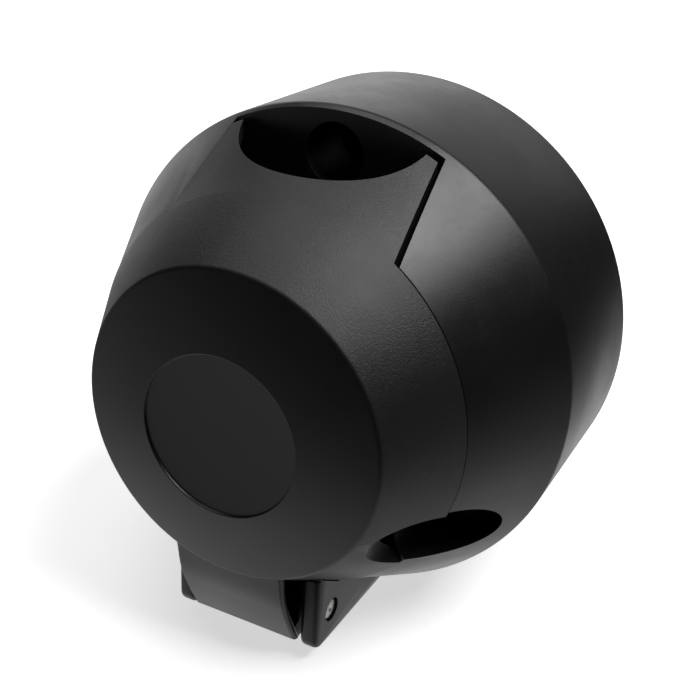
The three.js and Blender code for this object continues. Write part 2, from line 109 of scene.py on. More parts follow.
PIN = {"r": 1.65, "y": -45.2, "z": -31.3, "half": 11.7}
EAR = {"inner": 9.2, "outer": 12.0, "front": -49.8, "low": -36.4, "corner": 2.0, "hole": 1.85}
EAR_REACH = 9.0
EAR_RISE = 8.0
EAR_ROUND = 0.75
ARM = {"half": 8.75, "thick": 1.3, "rear": -49.9, "low": -35.3, "top": -18.5}
KNUCKLE = {"r": 3.8, "bore": 1.9, "inner": 4.6, "web": 6.4, "outer": 8.6}
SADDLE = 6.7
ARM_INSET = 0.04
ARM_BEND = (-54.34, -27.2)
ARM_FLUSH_TO, ARM_FLAT_FROM = -21.0, -29.0
ARM_ROUND = 0.45
OPEN_CLEARANCE = 0.15
SWEEP_CLEARANCE = 0.2
COIL_CLEARANCE = 0.9
SPRING = {"coil": 2.75, "wire": 0.5, "turns": 4, "half": 3.6, "leg": 7.0}

CARRIER = {"r": 17.4, "front": -38.0, "rear": -20.0, "flange": 20.9, "thick": 2.6}
LUG = {"x": 23.4, "r": 2.9, "hole": 1.6}
CONTACT_RINGS = ((8, 13.0, 22.5), (4, 6.6, 45.0), (1, 0.0, 0.0))
CONTACT = {"r": 1.7, "bore": 1.15, "depth": 12, "front": -36.6, "post": 2.1, "rear": -11.5}
CONTACT_HOLE = {"mouth": 1.35, "r": 2.0, "step": -36.9}
WIRE_BORE = {"r": 1.2, "depth": 6}
TERMINAL = {"y": -15.2, "thread": 0.75, "head": 1.35, "height": 0.9, "hole": 1.05}

LID_SEAL = {"inner": 15.6, "outer": 20.7, "front": -53.2, "rear": -50.8}
SEAL_RIB = {"inner": 13.8, "outer": 15.3, "rear": -51.8}
LID_INNER_FRONT = LID_SEAL["front"] - GAP
GASKET = {"outer": 35.2, "hole": 12.4, "front": -2.2}
GROMMET = {"cable": 4.2, "neck": 12.0, "flange": 15.0, "flange_front": -4.4, "nose": 6.4, "front": -9.5}


def flank(a, b, y):
    """Radius at depth y on the straight flank between two rings."""
    return a[0] + (b[0] - a[0]) * (y - a[1]) / (b[1] - a[1])


def body_radius(y):
    return flank(LID_RIM, CREASE, y)


def lid_radius(y):
    return flank(FRONT_RING, LID_RIM, y)


SCREWS = [(SCREW_CIRCLE * math.sin(math.radians(turn)), SCREW_CIRCLE * math.cos(math.radians(turn)))
          for turn in (0, 120, 240)]


# ---- Modelling helpers ---------------------------------------------------------

def pick_only(*objects):
    """Selects these objects alone, the first of them active."""
    bpy.ops.object.select_all(action="DESELECT")
    for each in objects:
        each.select_set(True)
    bpy.context.view_layer.objects.active = objects[0]


def rounded(corners, steps=5):
    """Points of a closed outline through (u, v, radius) corners, each rounded by its radius."""
    points = []
    for i, (u, v, radius) in enumerate(corners):
        corner = Vector((u, v))
        if radius == 0:
            points.append((u, v))
            continue
        back = (Vector(corners[i - 1][:2]) - corner).normalized()
        ahead = (Vector(corners[(i + 1) % len(corners)][:2]) - corner).normalized()
        half = back.angle(ahead) / 2
        start = corner + back * radius / math.tan(half)
        centre = corner + (back + ahead).normalized() * radius / math.sin(half)
        turn = math.copysign(math.pi - 2 * half, back.x * ahead.y - back.y * ahead.x)
        arm = start - centre
        for k in range(steps + 1):
            angle = -turn * k / steps
            c, s = math.cos(angle), math.sin(angle)
            points.append((centre.x + arm.x * c - arm.y * s, centre.y + arm.x * s + arm.y * c))
    return points


def closed_loop(name, points):
    """A loop of edges through the points, started from a circle."""
    bpy.ops.object.select_all(action="DESELECT")
    bpy.ops.mesh.primitive_circle_add(vertices=len(points), fill_type="NOTHING")
    loop = bpy.context.object
    loop.name = name
    for vertex, point in zip(loop.data.vertices, points):
        vertex.co = point
    return loop


def close_up():
    """In edit mode: merges doubled points, drops loose edges and turns all faces outward."""
    bpy.ops.mesh.select_all(action="SELECT")
    bpy.ops.mesh.remove_doubles(threshold=1e-4)
    bpy.ops.mesh.delete_loose(use_verts=True, use_edges=True, use_faces=False)
    bpy.ops.mesh.select_all(action="SELECT")
    bpy.ops.mesh.normals_make_consistent(inside=False)
    bpy.ops.object.mode_set(mode="OBJECT")


def spun(name, outline, steps=None):
    """A solid spun about the socket's axis from a closed outline of (radius, y) points."""
    steps = steps or bpy.context.scene.socket_sizes.round_steps
    solid = closed_loop(name, [(r, y, 0) for r, y in outline])
    bpy.ops.object.mode_set(mode="EDIT")
    bpy.ops.mesh.select_all(action="SELECT")
    bpy.ops.mesh.spin(steps=steps, angle=2 * math.pi, center=(0, 0, 0), axis=(0, 1, 0))
    close_up()
    return solid


def prism(name, outline, axis, low, high):
    """An outline drawn across one axis, filled and extruded along it."""
    place = {"X": lambda u, v: (low, u, v), "Y": lambda u, v: (u, low, v), "Z": lambda u, v: (u, v, low)}
    run = Vector((0, 0, 0))
    run["XYZ".index(axis)] = high - low
    solid = closed_loop(name, [place[axis](u, v) for u, v in outline])
    bpy.ops.object.mode_set(mode="EDIT")
    bpy.ops.mesh.select_all(action="SELECT")
    bpy.ops.mesh.edge_face_add()
    bpy.ops.mesh.extrude_region_move(TRANSFORM_OT_translate={"value": run})
    close_up()
    return solid


def circle_points(u, v, radius, count):
    return [(u + radius * math.cos(2 * math.pi * i / count), v + radius * math.sin(2 * math.pi * i / count))
            for i in range(count)]


def bar_y(name, x, z, radius, front, rear, count=64):
    return prism(name, circle_points(x, z, radius, count), "Y", front, rear)


def bar_x(name, y, z, radius, left, right, count=64):
    return prism(name, circle_points(y, z, radius, count), "X", left, right)


def with_modifier(target, kind, **settings):
    """Adds one modifier with its settings and applies it."""
    pick_only(target)
    bpy.ops.object.modifier_add(type=kind)
    modifier = target.modifiers[-1]
    for key, value in settings.items():
        setattr(modifier, key, value)
    bpy.ops.object.modifier_apply(modifier=modifier.name)
    return target


def combine(target, tools, operation):
    """Joins, cuts or keeps the target by each tool in turn, and removes the tools."""
    for tool in tools:
        with_modifier(target, "BOOLEAN", operation=operation, solver="MANIFOLD", object=tool)
        if not target.data.polygons:
            raise RuntimeError(f"{target.name}: nothing is left after {tool.name}")
        pick_only(tool)
        bpy.ops.object.delete()
    return target


def join(target, *tools):
    return combine(target, tools, "UNION")


def cut(target, *tools):
    return combine(target, tools, "DIFFERENCE")


def keep(target, *tools):
    return combine(target, tools, "INTERSECT")


def soften(target, width, segments=2, angle=35, clamp=True):
    """Rounds every edge sharper than the angle."""
    return with_modifier(target, "BEVEL", width=width, segments=segments, limit_method="ANGLE",
                         angle_limit=math.radians(angle), use_clamp_overlap=clamp)


def copied(source, name):
    """A copy with its own mesh."""
    pick_only(source)
    bpy.ops.object.duplicate()
    twin = bpy.context.object
    twin.name = name
    return twin


def turned(target, angle, move=(0, 0, 0)):
    """Turns a piece about the socket's axis, moves it, and puts its place in its mesh."""
    target.rotation_euler = (0, angle, 0)
    target.location = move
    pick_only(target)
    bpy.ops.object.transform_apply(location=True, rotation=True, scale=True)
    return target


def finished(target, body, slot, material, *nodes, angle=32):
    """Scales a piece from millimetres, smooths and finishes it, and sets it on its body if it has one."""
    target.scale = (MM, MM, MM)
    pick_only(target)
    bpy.ops.object.transform_apply(location=True, rotation=True, scale=True)
    bpy.ops.object.shade_smooth_by_angle(angle=math.radians(angle))
    target.data.name = target.name
    target.data.materials.clear()
    target.data.materials.append(material)
    if body:
        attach(target, body)
    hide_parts(*nodes)
    return target


# ---- Shader helpers -------------------------------------------------------------

def node(tree, kind, **settings):
    made = tree.nodes.new(kind)
    for key, value in settings.items():
        setattr(made, key, value)
    return made


def feed(tree, target, socket, source):
    """Sets a socket to a number or colour, or links it to another node's socket."""
    if isinstance(source, bpy.types.NodeSocket):
        tree.links.new(source, target.inputs[socket])
    else:
        target.inputs[socket].default_value = source


def math_node(tree, operation, first, second=0.0, third=0.0, clamp=False):
    made = node(tree, "ShaderNodeMath", operation=operation, use_clamp=clamp)
    for i, value in enumerate((first, second, third)):
        feed(tree, made, i, value)
    return made.outputs[0]


def noise(tree, where, scale, detail=2.0, roughness=0.5):
    made = node(tree, "ShaderNodeTexNoise")
    feed(tree, made, "Vector", where)
    feed(tree, made, "Scale", scale)
    feed(tree, made, "Detail", detail)
    feed(tree, made, "Roughness", roughness)
    return made.outputs["Fac"]


def spread(tree, value, low, high, out_low=0.0, out_high=1.0):
    made = node(tree, "ShaderNodeMapRange", interpolation_type="SMOOTHSTEP")
    for socket, number in (("Value", value), ("From Min", low), ("From Max", high),
                           ("To Min", out_low), ("To Max", out_high)):
        feed(tree, made, socket, number)
    return made.outputs["Result"]


def new_group(name, inputs, outputs):
    """A shader node group with its sockets, and its two end nodes."""
    tree = bpy.data.node_groups.new(name, "ShaderNodeTree")
    for label, kind, default in inputs:
        socket = tree.interface.new_socket(name=label, in_out="INPUT", socket_type=kind)
        if default is not None:
            socket.default_value = default
    for label, kind in outputs:
        tree.interface.new_socket(name=label, in_out="OUTPUT", socket_type=kind)
    return tree, node(tree, "NodeGroupInput"), node(tree, "NodeGroupOutput")


VECTOR, NUMBER = "NodeSocketVector", "NodeSocketFloat"


def grain_and_glints_group():
    """Spark-eroded tool grain: fine rounded bumps, and a mask of their tops where painted glints go."""
    tree, given, out = new_group(
        "Moulded grain and glints",
        [("Position", VECTOR, None), ("Grains per metre", NUMBER, 2600.0), ("Coarse share", NUMBER, 0.2)],
        [("Height", NUMBER), ("Painted glints", NUMBER)])
    where, fineness = given.outputs["Position"], given.outputs["Grains per metre"]
    fine = noise(tree, where, fineness, detail=3.0, roughness=0.65)
    coarse = noise(tree, where, math_node(tree, "MULTIPLY", fineness, 0.47), detail=2.0)
    height = node(tree, "ShaderNodeMix", data_type="FLOAT")
    feed(tree, height, "Factor", given.outputs["Coarse share"])
    feed(tree, height, "A", fine)
    feed(tree, height, "B", coarse)
    tree.links.new(height.outputs[0], out.inputs["Height"])
    # mask of the grain tops: it later lightens the base colour as painted glints, in place of the sparkle of
    # light on the grain
    tree.links.new(spread(tree, height.outputs[0], 0.55, 0.68), out.inputs["Painted glints"])
    return tree


def handling_marks_group():
    """Cloudy patches and short scuffs that change how the surface shines."""
    tree, given, out = new_group(
        "Handling marks",
        [("Position", VECTOR, None), ("Patch size", NUMBER, 90.0)],
        [("Patches", NUMBER), ("Scuffs", NUMBER)])
    where = given.outputs["Position"]
    patches = noise(tree, where, given.outputs["Patch size"], detail=4.0, roughness=0.55)
    tree.links.new(spread(tree, patches, 0.3, 0.7), out.inputs["Patches"])
    stretched = node(tree, "ShaderNodeMapping")
    feed(tree, stretched, "Vector", where)
    feed(tree, stretched, "Rotation", (0.5, 0.4, 0.7))
    feed(tree, stretched, "Scale", (1.0, 0.09, 0.25))
    scratch = noise(tree, stretched.outputs["Vector"], 3200.0, detail=2.0)
    tree.links.new(spread(tree, scratch, 0.66, 0.78), out.inputs["Scuffs"])
    return tree


def settled_dust_group():
    """A thin film on surfaces that face up, broken into faint spots."""
    tree, given, out = new_group(
        "Settled dust",
        [("Position", VECTOR, None), ("Spots per metre", NUMBER, 900.0)],
        [("Film", NUMBER)])
    facing = node(tree, "ShaderNodeSeparateXYZ")
    shape = node(tree, "ShaderNodeNewGeometry")
    tree.links.new(shape.outputs["Normal"], facing.inputs[0])
    upward = spread(tree, facing.outputs["Z"], 0.1, 1.0)
    where, fineness = given.outputs["Position"], given.outputs["Spots per metre"]
    spots = noise(tree, where, fineness, detail=3.0, roughness=0.7)
    tree.links.new(math_node(tree, "MULTIPLY", upward, spread(tree, spots, 0.42, 0.75)), out.inputs["Film"])
    return tree


GROUP_MAKERS = {
    "Moulded grain and glints": grain_and_glints_group,
    "Handling marks": handling_marks_group,
    "Settled dust": settled_dust_group,
}


def placed_group(tree, name, **values):
    made = node(tree, "ShaderNodeGroup")
    made.node_tree = bpy.data.node_groups.get(name) or GROUP_MAKERS[name]()
    for key, value in values.items():
        feed(tree, made, key.replace("_", " "), value)
    return made


def blank_material(name):
    """A new material with only its shader, and the surface position that its patterns read."""
    material = bpy.data.materials.new(name)
    material.use_nodes = True
    tree = material.node_tree
    shader = tree.nodes["Principled BSDF"]
    place = node(tree, "ShaderNodeTexCoord")
    return material, tree, shader, place.outputs["Object"]


def two_tone(tree, amount, first, second):
    made = node(tree, "ShaderNodeMix", data_type="RGBA")
    feed(tree, made, "Factor", amount)
    made.inputs[6].default_value = first
    made.inputs[7].default_value = second
    return made.outputs[2]


def bumped(tree, shader, height, distance):
    bump = node(tree, "ShaderNodeBump")
    feed(tree, bump, "Height", height)
    feed(tree, bump, "Distance", distance)
    tree.links.new(bump.outputs["Normal"], shader.inputs["Normal"])


PLASTIC_GRAINS, RUBBER_GRAINS, TOOL_LINES = 4200.0, 1700.0, 5200.0  # per metre
TOOL_LINE_DEPTH, RUBBER_PEBBLE_DEPTH = 0.00001, 0.00004
RUBBER_ROUGHNESS = 0.78
FRONT_FINISH = (-0.0548, 0.13)  # where the smoother front ends, and how much smoother it is
GRAIN_LEFT = 0.1  # share of the grain that stays on the front


def plastic(name, colour, roughness, grain_depth, dusty=0.4, speck=0.0, front=None):
    """Moulded plastic: tool grain with painted glints on its tops, cloudy shine and a little dust. A front
    and its arm are smoother.
    """
    material, tree, shader, where = blank_material(name)
    grain_and_glints = placed_group(tree, "Moulded grain and glints", Position=where, Grains_per_metre=PLASTIC_GRAINS)
    marks = placed_group(tree, "Handling marks", Position=where)
    dust = placed_group(tree, "Settled dust", Position=where)
    # painted glints: the grain-top mask, scaled by how strong the painted glints are
    height, painted_glints = grain_and_glints.outputs["Height"], math_node(tree, "MULTIPLY", grain_and_glints.outputs["Painted glints"], speck)
    base = roughness
    if front is not None:
        split = node(tree, "ShaderNodeSeparateXYZ")
        tree.links.new(where, split.inputs[0])
        edge, smoother = front
        grained = spread(tree, split.outputs["Y"], edge - 0.2 * MM, edge + 0.2 * MM, GRAIN_LEFT)
        across = math_node(tree, "ABSOLUTE", split.outputs["X"], 0.0)
        beside = spread(tree, across, ARM["half"] * MM, (ARM["half"] + 0.4) * MM, GRAIN_LEFT)
        low, high = ((fall - FRONT_RING[0]) * MM for fall in (0.3, 1.8))
        above = spread(tree, split.outputs["Z"], low, high, GRAIN_LEFT)
        grained = math_node(tree, "MINIMUM", grained, math_node(tree, "MAXIMUM", beside, above))
        height = math_node(tree, "MULTIPLY", height, grained)
        painted_glints = math_node(tree, "MULTIPLY", painted_glints, grained)
        base = math_node(tree, "MULTIPLY_ADD", grained, smoother, roughness - smoother)
    dust_and_glint_colour = tuple(c * 2 + 0.008 for c in colour[:3]) + (1,)
    film = math_node(tree, "MULTIPLY", dust.outputs["Film"], dusty)
    # base colour: lighter under the dust film, and lighter again on the grain tops as painted glints
    feed(tree, shader, "Base Color", two_tone(
        tree, math_node(tree, "ADD", film, painted_glints, clamp=True), tuple(colour[:3]) + (1,), dust_and_glint_colour))
    cloudy = math_node(tree, "MULTIPLY_ADD", marks.outputs["Patches"], 0.06, -0.03)
    rough = math_node(tree, "ADD", base, cloudy)
    rough = math_node(tree, "MULTIPLY_ADD", marks.outputs["Scuffs"], 0.03, rough)
    feed(tree, shader, "Roughness", math_node(tree, "MULTIPLY_ADD", film, 0.1, rough, clamp=True))
    bumped(tree, shader, height, grain_depth)
    return material


def metal(name, colour, tarnish, roughness, lay=(1.0, 0.08, 1.0)):
    """Turned or plated metal: fine tool lines and a patchy tarnish."""
    material, tree, shader, where = blank_material(name)
    marks = placed_group(tree, "Handling marks", Position=where, Patch_size=420.0)
    feed(tree, shader, "Base Color", two_tone(
        tree, math_node(tree, "MULTIPLY", marks.outputs["Patches"], 0.7), colour, tarnish))
    shader.inputs["Metallic"].default_value = 1.0
    feed(tree, shader, "Roughness", math_node(tree, "MULTIPLY_ADD", marks.outputs["Patches"], 0.2, roughness))
    stretched = node(tree, "ShaderNodeMapping")
    feed(tree, stretched, "Vector", where)
    feed(tree, stretched, "Scale", lay)
    bumped(tree, shader, noise(tree, stretched.outputs["Vector"], TOOL_LINES, detail=1.0), TOOL_LINE_DEPTH)
    return material


def rubber(name, colour):
    """Matte rubber with a dull bloom and a faint pebble."""
    material, tree, shader, where = blank_material(name)
    marks = placed_group(tree, "Handling marks", Position=where, Patch_size=160.0)
    grain_and_glints = placed_group(tree, "Moulded grain and glints", Position=where, Grains_per_metre=RUBBER_GRAINS)
    bloom = tuple(c * 2.4 + 0.01 for c in colour[:3]) + (1,)
    plain = tuple(colour[:3]) + (1,)
    feed(tree, shader, "Base Color", two_tone(tree, marks.outputs["Patches"], plain, bloom))
    feed(tree, shader, "Roughness", math_node(
        tree, "MULTIPLY_ADD", marks.outputs["Patches"], 0.14, RUBBER_ROUGHNESS - 0.07))
    shader.inputs["Specular IOR Level"].default_value = 0.35
    bumped(tree, shader, grain_and_glints.outputs["Height"], RUBBER_PEBBLE_DEPTH)
    return material


def made_once(name, maker, *values, **more):
    return bpy.data.materials.get(name) or maker(name, *values, **more)


def finish_of(kind):
    """The material of one finish, made the first time that it is asked for."""
    look = bpy.context.scene.socket_finishes
    makers = {
        "housing": lambda: made_once("Housing plastic", plastic, look.housing_colour,
                                     look.housing_roughness, look.grain_depth * 0.2),
        # the lid alone gets painted glints on its grain tops
        "lid": lambda: made_once("Lid plastic", plastic, look.lid_colour, look.lid_roughness,
                                 look.grain_depth, speck=0.6, front=FRONT_FINISH),
        "carrier": lambda: made_once("Carrier plastic", plastic, look.carrier_colour, 0.5,
                                     look.grain_depth * 0.4, dusty=0.2),
        "rubber": lambda: made_once("Black rubber", rubber, look.rubber_colour),
        "brass": lambda: made_once("Contact brass", metal, (0.62, 0.43, 0.17, 1),
                                   (0.36, 0.22, 0.08, 1), 0.22),
        "zinc": lambda: made_once("Zinc-plated steel", metal, (0.62, 0.63, 0.64, 1),
                                  (0.4, 0.39, 0.36, 1), 0.25),
        "pin": lambda: made_once("Bright pin steel", metal, (0.7, 0.7, 0.69, 1), (0.5, 0.48, 0.45, 1), 0.2,
                                 lay=(0.08, 1.0, 1.0)),
        "spring": lambda: made_once("Spring steel", metal, (0.5, 0.5, 0.5, 1), (0.3, 0.28, 0.25, 1), 0.3),
    }
    return makers[kind]()


# ---- Housing ----------------------------------------------------------------------

def lobe_plan(margins, front, rear):
    """Plan outline of the lobe, wider at the front, grown by a margin on its left and right."""
    left, right = margins
    slope = (LOBE["rear_half"] - LOBE["front_half"]) / (CREASE[1] - LID_RIM[1])

    def half(y):
        return LOBE["front_half"] + slope * (y - LID_RIM[1])
    return [(-half(front) - left, front), (half(front) + right, front),
            (half(rear) + right, rear), (-half(rear) - left, rear)]


def notch_volume(inner, margins, rear):
    """The notch's volume: outside an inner radius, between the lobe's two sides."""
    front, outer = LID_RIM[1] - 6, REAR_RADIUS + 8
    ring = spun("notch", [(inner, front), (outer, front), (outer, rear), (inner, rear)])
    plan = lobe_plan(margins, front - 1, rear + 1)
    return keep(ring, prism("notch_sides", plan, "Z", NOTCH_LOW, NOTCH_TOP))


def scoop_volume():
    """The round upright cut that gives a screwdriver its way past the lobe's top edge."""
    return prism("scoop", circle_points(0, SCOOP["y"], SCOOP["r"], 192), "Z", LID_RIM[0] - 6, NOTCH_TOP)


def lid_sweep():
    """The space that the closed lid fills, with its running clearance."""
    front, rim = FRONT_DISC[1] - 1, LID_RIM[1] + GAP
    return spun("lid_sweep", [(0, front), (lid_radius(front) + SWEEP_CLEARANCE, front),
                              (lid_radius(rim) + SWEEP_CLEARANCE, rim), (0, rim)])


def hinge_ear(left, right):
    """One hinge ear: a plate with rounded edges that carries an end of the pin."""
    front, low, root = EAR["front"], EAR["low"], CREASE[1] + 1
    outline = rounded([(front, PIN["z"] + EAR_RISE, 0), (front, low, EAR["corner"]), (root, low, 0),
                       (root, PIN["z"] + EAR_RISE, 0)], 8)
    plate = soften(prism("ear", outline, "X", left, right), EAR_ROUND, 4, 50, clamp=False)
    reach = bar_x("ear_reach", PIN["y"], PIN["z"], EAR_REACH, left - 1, right + 1, 96)
    block = prism("ear_block", [(PIN["y"], low - 1), (root + 1, low - 1), (root + 1, PIN["z"] + 9),
                                (PIN["y"], PIN["z"] + 9)], "X", left - 1, right + 1)
    keep(plate, join(reach, block))
    return cut(plate, lid_sweep())


def wiring_chamber():
    """The space behind the front wall, open at the rear."""
    inside = BODY_FRONT + FRONT_WALL
    return spun("chamber", [(0, inside), (body_radius(inside) - SLANT_WALL, inside), (SKIRT_INNER, SHOULDER),
                            (SKIRT_INNER, 1), (0, 1)])


def housing_shell():
    """The housing's turned shell, with its front wall and the collar that takes the plug."""
    inside = BODY_FRONT + FRONT_WALL
    return spun("housing_body", rounded([
        (body_radius(BODY_FRONT) - RIM_SEAM, BODY_FRONT, 0.1), (*CREASE, CREASE_FILLET),
        (REAR_RADIUS, 0, 0.5), (SKIRT_INNER, 0, 0.25), (SKIRT_INNER, SHOULDER, 1.2),
        (body_radius(inside) - SLANT_WALL, inside, 1.0),
        (COLLAR["outer"], inside, 0.5), (COLLAR["outer"], COLLAR["rear"], 0.2),
        (COLLAR["bore"], COLLAR["rear"], 0.2), (COLLAR["bore"], COLLAR["front"], 0.5),
        (COLLAR["outer"], COLLAR["front"], 0.5), (COLLAR["outer"], BODY_FRONT, 0.3)]))


def inner_walls():
    """Walls inside the chamber: notch lining, pockets, pillars, hinge saddle and carrier bosses."""
    walls = notch_volume(NOTCH_INNER - WALL, [gap + WALL for gap in SIDE_GAPS], POCKET_FLOOR + WALL)
    x, z, r = POCKET
    bars = [bar_y("pocket_wall", side * x, z, r + WALL, BODY_FRONT + 0.4, POCKET_FLOOR + WALL)
            for side in (-1, 1)]
    bars += [bar_y("pillar", sx, sz, PILLAR, POCKET_FLOOR + 0.5, 0) for sx, sz in SCREWS]
    bars.append(bar_x("saddle_wall", PIN["y"], PIN["z"], SADDLE + WALL, -EAR["outer"], EAR["outer"]))
    bars += [bar_y("boss", side * LUG["x"], 0, LUG["r"] + 1.2, BODY_FRONT + 1, COLLAR["rear"])
             for side in (-1, 1)]
    join(walls, *bars)
    inner = 0.25
    envelope = spun("walls_within", [
        (0, BODY_FRONT + inner), (body_radius(BODY_FRONT) - inner, BODY_FRONT + inner),
        (CREASE[0] - 1, CREASE[1]), (REAR_RADIUS - inner, -0.4), (REAR_RADIUS - 0.8, 0), (0, 0)])
    return keep(walls, envelope)


def build_housing():
    """The fixed housing, with its notch, screw recesses, hinge ears and pin holes."""
    housing = housing_shell()
    ears = join(hinge_ear(EAR["inner"], EAR["outer"]), hinge_ear(-EAR["outer"], -EAR["inner"]))
    join(housing, inner_walls(), cut(ears, wiring_chamber()))
    x, z, r = POCKET
    tools = [notch_volume(NOTCH_INNER, SIDE_GAPS, POCKET_FLOOR)]
    tools += [bar_y("pocket", side * x, z, r, BODY_FRONT - 1, POCKET_FLOOR, 128) for side in (-1, 1)]
    tools += [bar_y("head_bore", sx, sz, HEAD_BORE, POCKET_FLOOR - 0.5, HEAD_SEAT) for sx, sz in SCREWS]
    tools += [bar_y("screw_hole", sx, sz, SCREW_HOLE, HEAD_SEAT - 1, 1) for sx, sz in SCREWS]
    rear = COLLAR["rear"]
    tools += [bar_y("lug_hole", side * LUG["x"], 0, LUG["hole"] - 0.2, rear - 9, rear + 1, 32)
              for side in (-1, 1)]
    tools += [bar_y("collar_bore", 0, 0, COLLAR["bore"], BODY_FRONT - 1, COLLAR["rear"] + 0.5, 256),
              bar_x("saddle", PIN["y"], PIN["z"], SADDLE, -EAR["inner"], EAR["inner"], 96),
              bar_x("pin_hole", PIN["y"], PIN["z"], EAR["hole"], -EAR["outer"] - 1, EAR["outer"] + 1)]
    return cut(housing, *tools)


# ---- Lid ----------------------------------------------------------------------------

def lid_corners():
    """Corners of the lid's outer outline, from the sunken disc to the rim."""
    sunk = FRONT_DISC[1] + DISC_SUNK
    return [(0, sunk, 0), (FRONT_DISC[0] - 0.12, sunk, 0.1), (*FRONT_DISC, 0.12), (*FRONT_RING, RING_FILLET)]


def lid_hollow_corners():
    """Corners of the space inside the lid, from its floor to past its rim."""
    past = LID_RIM[1] + 1
    return [(0, LID_INNER_FRONT, 0), (lid_radius(LID_INNER_FRONT) - LID_SIDE, LID_INNER_FRONT, 0.8),
            (lid_radius(past) - LID_SIDE, past, 0), (0, past, 0)]


def lid_shell():
    """The lid's turned shell with the rib for its seal."""
    rib = SEAL_RIB
    inner_rim = lid_radius(LID_RIM[1]) - LID_SIDE
    return spun("lid_cover", rounded([
        *lid_corners(), (lid_radius(LID_REAR), LID_REAR, 0.12), (inner_rim, LID_REAR, 0.3),
        (lid_radius(LID_INNER_FRONT) - LID_SIDE, LID_INNER_FRONT, 0.8),
        (rib["outer"], LID_INNER_FRONT, 0.1), (rib["outer"], rib["rear"], 0.3),
        (rib["inner"], rib["rear"], 0.3), (rib["inner"], LID_INNER_FRONT, 0.4), (0, LID_INNER_FRONT, 0)]))


def lid_lobe():
    """The lobe that reaches back over the housing's top notch."""
    front, rear = LID_RIM[1] - 3, LOBE["rear"]
    edge = body_radius(rear)
    ring = spun("lobe", [(lid_radius(front) - 0.1, front), LID_RIM, (edge, rear), (edge - LID_SIDE, rear),
                         (LID_RIM[0] - LID_SIDE, LID_RIM[1]), (lid_radius(front) - LID_SIDE, front)])
    keep(ring, prism("lobe_sides", lobe_plan((0, 0), front - 1, rear + 1), "Z", NOTCH_LOW, NOTCH_TOP))
    return cut(ring, scoop_volume())


def arm_front(x, t):
    """A point of the arm's front: flush with the lid's front cone at the top, flat and curved back below."""
    z = ARM["top"] + (ARM["low"] - ARM["top"]) * t
    start, bend, end = (FRONT_RING[1] - 0.05, 0.4 - FRONT_RING[0]), ARM_BEND, (ARM["rear"], ARM["low"])
    a, b, c = start[1] - 2 * bend[1] + end[1], 2 * (bend[1] - start[1]), start[1] - z
    s = max(0.0, (-b - math.sqrt(b * b - 4 * a * c)) / (2 * a))
    flat = (1 - s) ** 2 * start[0] + 2 * s * (1 - s) * bend[0] + s * s * end[0]
    slope = (FRONT_RING[1] - FRONT_DISC[1]) / (FRONT_RING[0] - FRONT_DISC[0])
    flush = FRONT_DISC[1] + slope * (math.hypot(x, z) - FRONT_DISC[0]) + ARM_INSET
    share = min(1.0, max(0.0, (ARM_FLUSH_TO - z) / (ARM_FLUSH_TO - ARM_FLAT_FROM)))
    share = share * share * (3 - 2 * share)
    return (x, flush * (1 - share) + flat * share, z)


def arm_plate():
    """The front plate of the arm: a curved sheet given its thickness, with rounded edges."""
    across, down = 44, 64
    bpy.ops.object.select_all(action="DESELECT")
    bpy.ops.mesh.primitive_grid_add(x_subdivisions=across, y_subdivisions=down, size=2)
    plate = bpy.context.object
    plate.name = "arm_plate"
    for vertex in plate.data.vertices:
        u, v, _ = vertex.co
        vertex.co = arm_front(u * ARM["half"], (1 - v) / 2)
    bpy.ops.object.mode_set(mode="EDIT")
    bpy.ops.mesh.select_all(action="SELECT")
    bpy.ops.mesh.extrude_region_move(TRANSFORM_OT_translate={"value": (0, ARM["thick"], 0)})
    close_up()
    return soften(plate, ARM_ROUND, 4, 50, clamp=False)


def arm_cheek(left, right):
    """One side cheek of the arm, from the plate back round the pin."""
    y, z, r = PIN["y"], PIN["z"], KNUCKLE["r"]
    outline = [(FRONT_RING[1] + 1.2, -21), (y + 0.5, z + 6.5), (y + r - 0.4, z + 1.5), (y + r - 0.4, z - 1),
               (y, z - r), (ARM["rear"] + 1, ARM["low"]), (-52.4, -30)]
    web = KNUCKLE["web"]
    cheek = prism("arm_cheek", outline, "X", max(left, -web), min(right, web))
    foot = prism("arm_foot", [(ARM["rear"] + 0.3, ARM["low"] + 0.2), (ARM["rear"] - 0.3, ARM["low"] + 2.6),
                              (y - 2, z), (y, z - r + 0.05)], "X", left, right)
    return soften(join(cheek, foot, bar_x("knuckle", y, z, r, left, right)), 0.2, 2, 60)


def build_lid():
    """The lid with its lobe, arm, hinge knuckle and lower scallops."""
    inner, outer = KNUCKLE["inner"], KNUCKLE["outer"]
    y, z = PIN["y"], PIN["z"]
    arm = join(arm_plate(), arm_cheek(inner, outer), arm_cheek(-outer, -inner))
    cut(arm, spun("lid_space", rounded(lid_hollow_corners())))
    x, sz, r = LID_SCALLOP
    lid = lid_shell()
    join(lid, arm, lid_lobe())
    coil_room = SPRING["coil"] + SPRING["wire"] + COIL_CLEARANCE
    ear_room = EAR_REACH + OPEN_CLEARANCE
    slot_in, slot_out = EAR["inner"] - OPEN_CLEARANCE, EAR["outer"] + OPEN_CLEARANCE
    tools = [bar_y("scallop", side * x, sz, r, FRONT_RING[1], LID_RIM[1] + 1, 128) for side in (-1, 1)]
    tools += [bar_x("coil_room", y, z, coil_room, -inner, inner),
              bar_x("ear_slot", y, z, ear_room, slot_in, slot_out, 128),
              bar_x("ear_slot", y, z, ear_room, -slot_out, -slot_in, 128),
              bar_x("knuckle_bore", y, z, KNUCKLE["bore"], -outer - 1, outer + 1)]
    return cut(lid, *tools)


# ---- Small pieces --------------------------------------------------------------------

